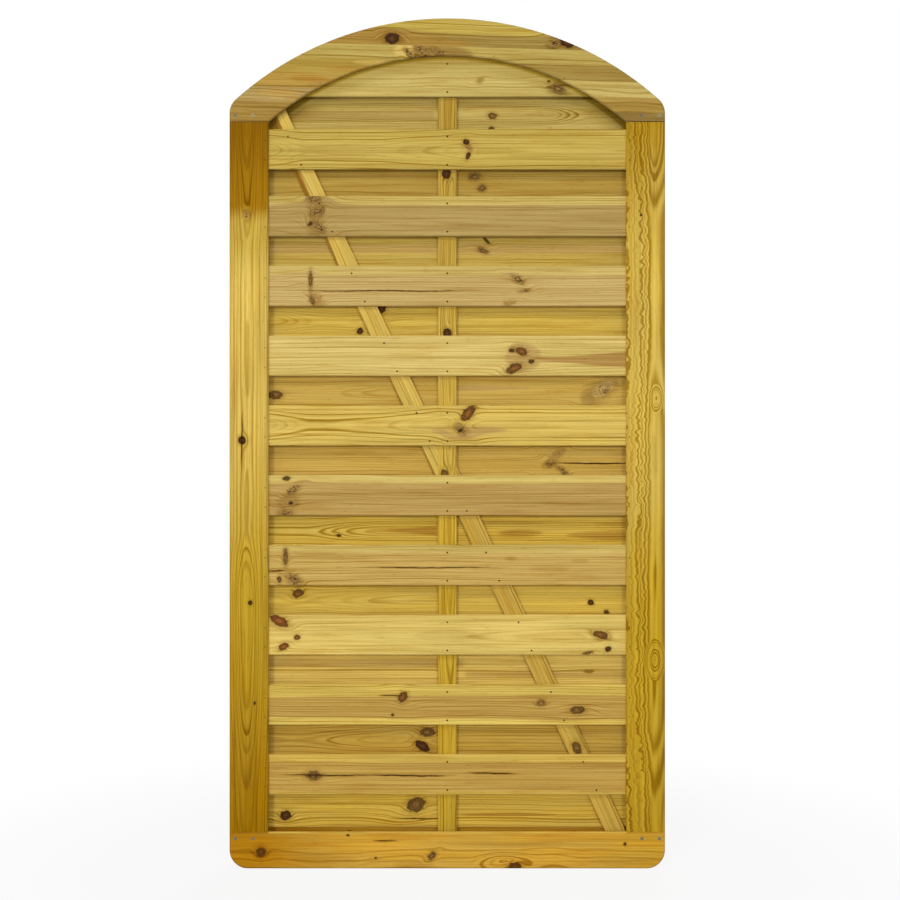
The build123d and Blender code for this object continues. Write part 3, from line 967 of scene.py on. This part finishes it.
strip("5", 29, (183, 162, 89), pith=(-60, 30), sway=9,
      bands=[(-118, -62, 3, 12, SPINDLE, 6, STRAW, 0.7), (-80, 60, 0, 20, (0.8, 1.1, 0), 6, DUSK, 0.8)],
      knots=[(-78, -4, 16, 5, -55, "specked"), (-50, 2, 18, 6, -50, "specked"),
             (-20, 2, 16, 5, -40, "specked")],
      eyes=[(-50, 0, 60, 22, 2)])
strip("6", 30, (192, 169, 83), pith=(-80, 30), sway=9, contrast=1.4,
      bands=[(-300, 340, -14, 26, (1.35, 0.95, 0.85), 3, paint(155, 131, 71), 0.85),
             (-290, 60, -10, 24, (1.3, 1.0, 0), 5, RUSSET, 0.4)],
      knots=[(-114, -3, 13, 10, 0, "dark"), (245, -1, 15, 7, -20, "dark"), (224, -3, 12, 8, 40, "specked")],
      eyes=[(-114, 4, 40, 28, 3.5), (228, -5, 34, 20, 2.5)])
print("Arched rail made")

# %% [markdown]
# ## Batten and braces
#
# Between the two layers an upright batten and two slanting braces keep the gate square. They show only as
# short lengths between the front slats. The upper brace was sawn from the outside of the log, so one edge
# keeps the brown skin that lay under the bark.

# %% Batten and braces
UPPER_SLOPE = -65.05
UPPER_MIDDLE = (-181, 1193.75)
LOWER_SLOPE = -65.1
LOWER_MIDDLE = (183.5, 430.25)
board("centre_batten", UPRIGHT, seed=7.0, sapwood=HONEY, pith=(-5, 14), ring=4, contrast=1.3,
      flames=[(420, 260, 10), (-120, 300, 10), (-640, 260, 10)],
      knots=[(561, 2, 10, 8, 0, "dark"), (229, 0, 9, 8, 0, "dark"), (-64, 6, 10, 7, 0, "tan")],
      stains=[(-850, 1000, 0.5, BATTEN_STAIN, 1.0), (-850, 600, 0.9, FOOT_STAIN, 0.4),
              (850, 640, 0.4, END_STAIN, 0.6)])
board("upper_brace", UPPER_SLOPE, UPPER_MIDDLE, seed=8.0, sapwood=BUTTER, pith=(-50, 30), ring=5,
      bands=[(-420, -10, -22, 20, (1.0, 0.55, 0.1), 1.5, RUSSET, 0.95)])
board("lower_brace", LOWER_SLOPE, LOWER_MIDDLE, seed=9.0, sapwood=paint(207, 171, 76), pith=(-60, 30),
      ring=5, contrast=1.0, knots=[(203, 0, 12, 8, 0, "tan")], eyes=[(190, 0, 44, 16, 3)])
print("Batten and braces made")

# %% [markdown]
# ## Brads
#
# A brad's head is a small dark disc at the bottom of its nail hole. It is a turned shape with its shank, so
# it reaches into the timber as the real one does, and one piece holds all the brads of a CAD node.

# %% Brads
BRAD_DISC = [(0.75, 0.55), (0.9, 0.9), (1.1, 0.98)]
BRAD_NECK = 1.6
BRAD_SHANK = 0.8
BRAD_POINT = 0.2
BRAD_TAPER = 1.5
SMOOTH_TURNING = math.radians(35)


def metal(name, colour, wear, roughness):
    """A metal that is dulled in fine patches."""
    material, shader, start = new_material(name)
    place = start.node("ShaderNodeTexCoord", {}, {}, output=3)
    patch = start.node("ShaderNodeTexNoise", {}, {"Vector": place, "Scale": 900.0, "Detail": 3.0})
    tone = start.mix(patch.step(0.4, 0.65), colour, wear)
    dull = patch * 0.3 + roughness
    tone.feed(shader["Base Color"])
    dull.feed(shader["Roughness"])
    shader["Metallic"].default_value = 1.0
    return material


def fasteners(node, shape, materials):
    """A piece made of many fasteners, in place of their CAD node."""
    bmesh.ops.recalc_face_normals(shape, faces=shape.faces)
    mesh = as_mesh(shape, node + "_heads")
    for material in materials:
        mesh.materials.append(material)
    return stand_in(put(node + "_heads", mesh), node, SMOOTH_TURNING)


brad_metal = metal("dark_brad", paint(70, 58, 40), paint(38, 30, 22), 0.45)
for node, group in brad_heads.items():
    shape = bmesh.new()
    for near, far, radius in group:
        inward = 1 if abs(near.y) > abs(far.y) else -1
        head, point = (near.y, far.y) if inward > 0 else (far.y, near.y)
        middle = (near + far) / 2
        profile = [(head + inward * depth, radius * share) for depth, share in BRAD_DISC]
        profile += [(head + inward * BRAD_NECK, BRAD_SHANK), (point - inward * BRAD_TAPER, BRAD_SHANK)]
        profile += [(point, BRAD_POINT)]
        turn(shape, middle.x, middle.z, profile, BRAD_SIDES)
    fasteners(node, shape, [brad_metal])
print("Brads set in", len(brad_heads), "groups")

# %% [markdown]
# ## Screws
#
# The corner screws are zinc plated, with round countersunk heads and a cross for the driver. Each is turned
# with its shank. Its flat top is then taken off and filled again round a cross, and the cross gets walls and
# a floor, which needs no cutting tool. Two screws at the top get a darker copy of the metal.

# %% Screws
HEAD_TOP = 0.15
HEAD_EDGE = 0.35
HEAD_BEVEL = 0.1
SHANK = 1.9
TIP = 0.4
SCREW_POINT = 5
CROSS_ARM = 2.1
CROSS_WIDTH = 0.55
CROSS_DEPTH = 1.5
CROSS_TAPER = 0.8
FIRST_TURN = 20
NEXT_TURN = 37
OUTER_ROW = 420


def cross_head(shape, x, z, front, tip, turned, material):
    """A countersunk screw whose head has a cross-shaped recess."""
    first_face = len(shape.faces)
    top_level = front + HEAD_TOP
    profile = [(top_level, SCREW_HEAD - HEAD_BEVEL), (front + HEAD_EDGE, SCREW_HEAD)]
    profile += [(front + SINK_DEPTH, SHANK), (tip - SCREW_POINT, SHANK), (tip, TIP)]
    turn(shape, x, z, profile, SCREW_SIDES)
    shape.faces.ensure_lookup_table()
    cap = [face for face in shape.faces[first_face:] if len(face.verts) == SCREW_SIDES][0]
    for face in shape.faces[first_face:]:
        face.material_index = material
    middle = Vector((x, top_level, z))
    shape.faces.remove(cap)
    rim = [vertex for vertex in shape.verts if abs(vertex.co.y / MM - top_level) < 0.01
           and (Vector((vertex.co.x, 0, vertex.co.z)) / MM - Vector((x, 0, z))).length < SCREW_HEAD + 0.1]
    rim.sort(key=lambda v: math.atan2(v.co.z / MM - z, v.co.x / MM - x))
    outline = []
    for quarter in range(4):
        angle = math.radians(turned + 90 * quarter)
        forward = Vector((math.cos(angle), 0, math.sin(angle)))
        aside = Vector((-math.sin(angle), 0, math.cos(angle)))
        reach = forward * CROSS_ARM
        half = aside * CROSS_WIDTH
        outline += [reach - half, reach + half, (forward + aside) * CROSS_WIDTH]
    top = [shape.verts.new((middle + corner) * MM) for corner in outline]
    sunk = middle + Vector((0, CROSS_DEPTH, 0))
    floor = [shape.verts.new((sunk + corner * CROSS_TAPER) * MM) for corner in outline]
    made = []
    for corner in range(len(outline)):
        made.append(shape.faces.new((top[corner - 1], top[corner], floor[corner], floor[corner - 1])))
    made.append(shape.faces.new(floor))
    edges = [shape.edges.get((ring[i - 1], ring[i])) for ring in (rim, top) for i in range(len(ring))]
    filled = bmesh.ops.triangle_fill(shape, edges=edges, use_beauty=True)
    made += [item for item in filled["geom"] if isinstance(item, bmesh.types.BMFace)]
    for face in made:
        face.material_index = material


plated = metal("plated_screw", paint(142, 130, 100), paint(98, 86, 62), 0.4)
# A darker copy of the plated metal, for two of the screws at the top.
darker_screw_metal = metal("darker_screw", paint(120, 108, 86), paint(74, 62, 46), 0.4)
shape = bmesh.new()
for count, (near, far) in enumerate(screw_places):
    middle = (near + far) / 2
    at_top = middle.z * MM > cad_box[1].z / 2
    outer = abs(middle.x) > OUTER_ROW
    dull = at_top and outer == (middle.x < 0)
    turned = FIRST_TURN + NEXT_TURN * count
    cross_head(shape, middle.x, middle.z, near.y, far.y, turned, 1 if dull else 0)
fasteners("corner_screws", shape, [plated, darker_screw_metal])
print(len(screw_places), "screws set")

# %% [markdown]
# ## Studio light
#
# Two broad round lamps stand far off in front of the gate, and a smaller one hangs above it, so each front
# slat throws a soft shadow on the slat behind it. A fourth lamp lights the back, and a pale surround fills
# the rest. The camera sees that surround as plain white. Each lamp is given by its place, the light that it
# brings to the gate, and its width.

# %% Light the studio
SURROUND_LEVEL = 0.38
AIM = Vector((0, 0, 0.9))
LAMPS = {
    "left_lamp": ((-3.2, -8.0, 2.2), 0.94, 1.7),
    "right_lamp": ((2.3, -8.0, 2.2), 0.63, 1.7),
    "top_lamp": ((-0.4, -2.6, 3.9), 1.0, 0.9),
    "back_lamp": ((1.5, 6.0, 4.2), 1.5, 2.2),
}
SEEING_RAYS = (0, 3, 6)


def seen_directly(start):
    """1 for a ray from the camera, from gloss or through glass, and 0 for a ray that carries light."""
    eye, gloss, glass = [start.node("ShaderNodeLightPath", {}, {}, output=ray) for ray in SEEING_RAYS]
    return eye.math("MAXIMUM", eye, gloss.math("MAXIMUM", gloss, glass))


world = bpy.data.worlds.new("studio")
bpy.context.scene.world = world
world.use_nodes = True
sky = Wire(world.node_tree)
strength = seen_directly(sky) * (1 - SURROUND_LEVEL) + SURROUND_LEVEL
surround = world.node_tree.nodes["Background"]
surround.inputs["Color"].default_value = (1, 1, 1, 1)
strength.feed(surround.inputs["Strength"])

for name, (place, level, width) in LAMPS.items():
    light = bpy.data.lights.new(name, "AREA")
    light.shape = "DISK"
    light.size = width
    lamp = put(name, light)
    lamp.location = place
    light.energy = level * math.pi * (AIM - lamp.location).length ** 2
    lamp.rotation_euler = (AIM - lamp.location).to_track_quat("-Z", "Y").to_euler()
    print(name, "is", width, "m wide and has", round(light.energy), "W")

# %% [markdown]
# ## The floor
#
# The floor is a wide pale sheet. Near the gate it is mostly plain white with a little of its own shading, so
# the gate's shadow shows softly, and farther away it is all white, so that no horizon can be seen.

# %% Lay the floor
FLOOR_REACH = 30
FLOOR_GREY = (0.55, 0.55, 0.55, 1)
WHITE_SHARE = 0.89
SHADOW_FADE = (0.6, 1.4)
floor_mesh = bpy.data.meshes.new("studio_floor")
corners = [(-1, -1), (1, -1), (1, 1), (-1, 1)]
spots = [(x * FLOOR_REACH, y * FLOOR_REACH, cad_box[0].z) for x, y in corners]
floor_mesh.from_pydata(spots, [], [(0, 1, 2, 3)])
floor = put("studio_floor", floor_mesh)
pale, _, ground = new_material("pale_floor")
matt = ground.node("ShaderNodeBsdfDiffuse", {}, {"Color": FLOOR_GREY})
glow = ground.node("ShaderNodeEmission", {}, {"Color": (1, 1, 1, 1), "Strength": 1.0})
place = ground.node("ShaderNodeTexCoord", {}, {}, output=3)
away = ground.node("ShaderNodeVectorMath", {"operation": "LENGTH"}, {0: place}, output=0)
share = away.step(*SHADOW_FADE) * (1 - WHITE_SHARE) + WHITE_SHARE
mixed = ground.node("ShaderNodeMixShader", {}, {0: seen_directly(ground) * share, 1: matt, 2: glow})
mixed.feed(pale.node_tree.nodes["Material Output"].inputs["Surface"])
floor_mesh.materials.append(pale)
print("Floor laid at", round(cad_box[0].z, 4), "m")
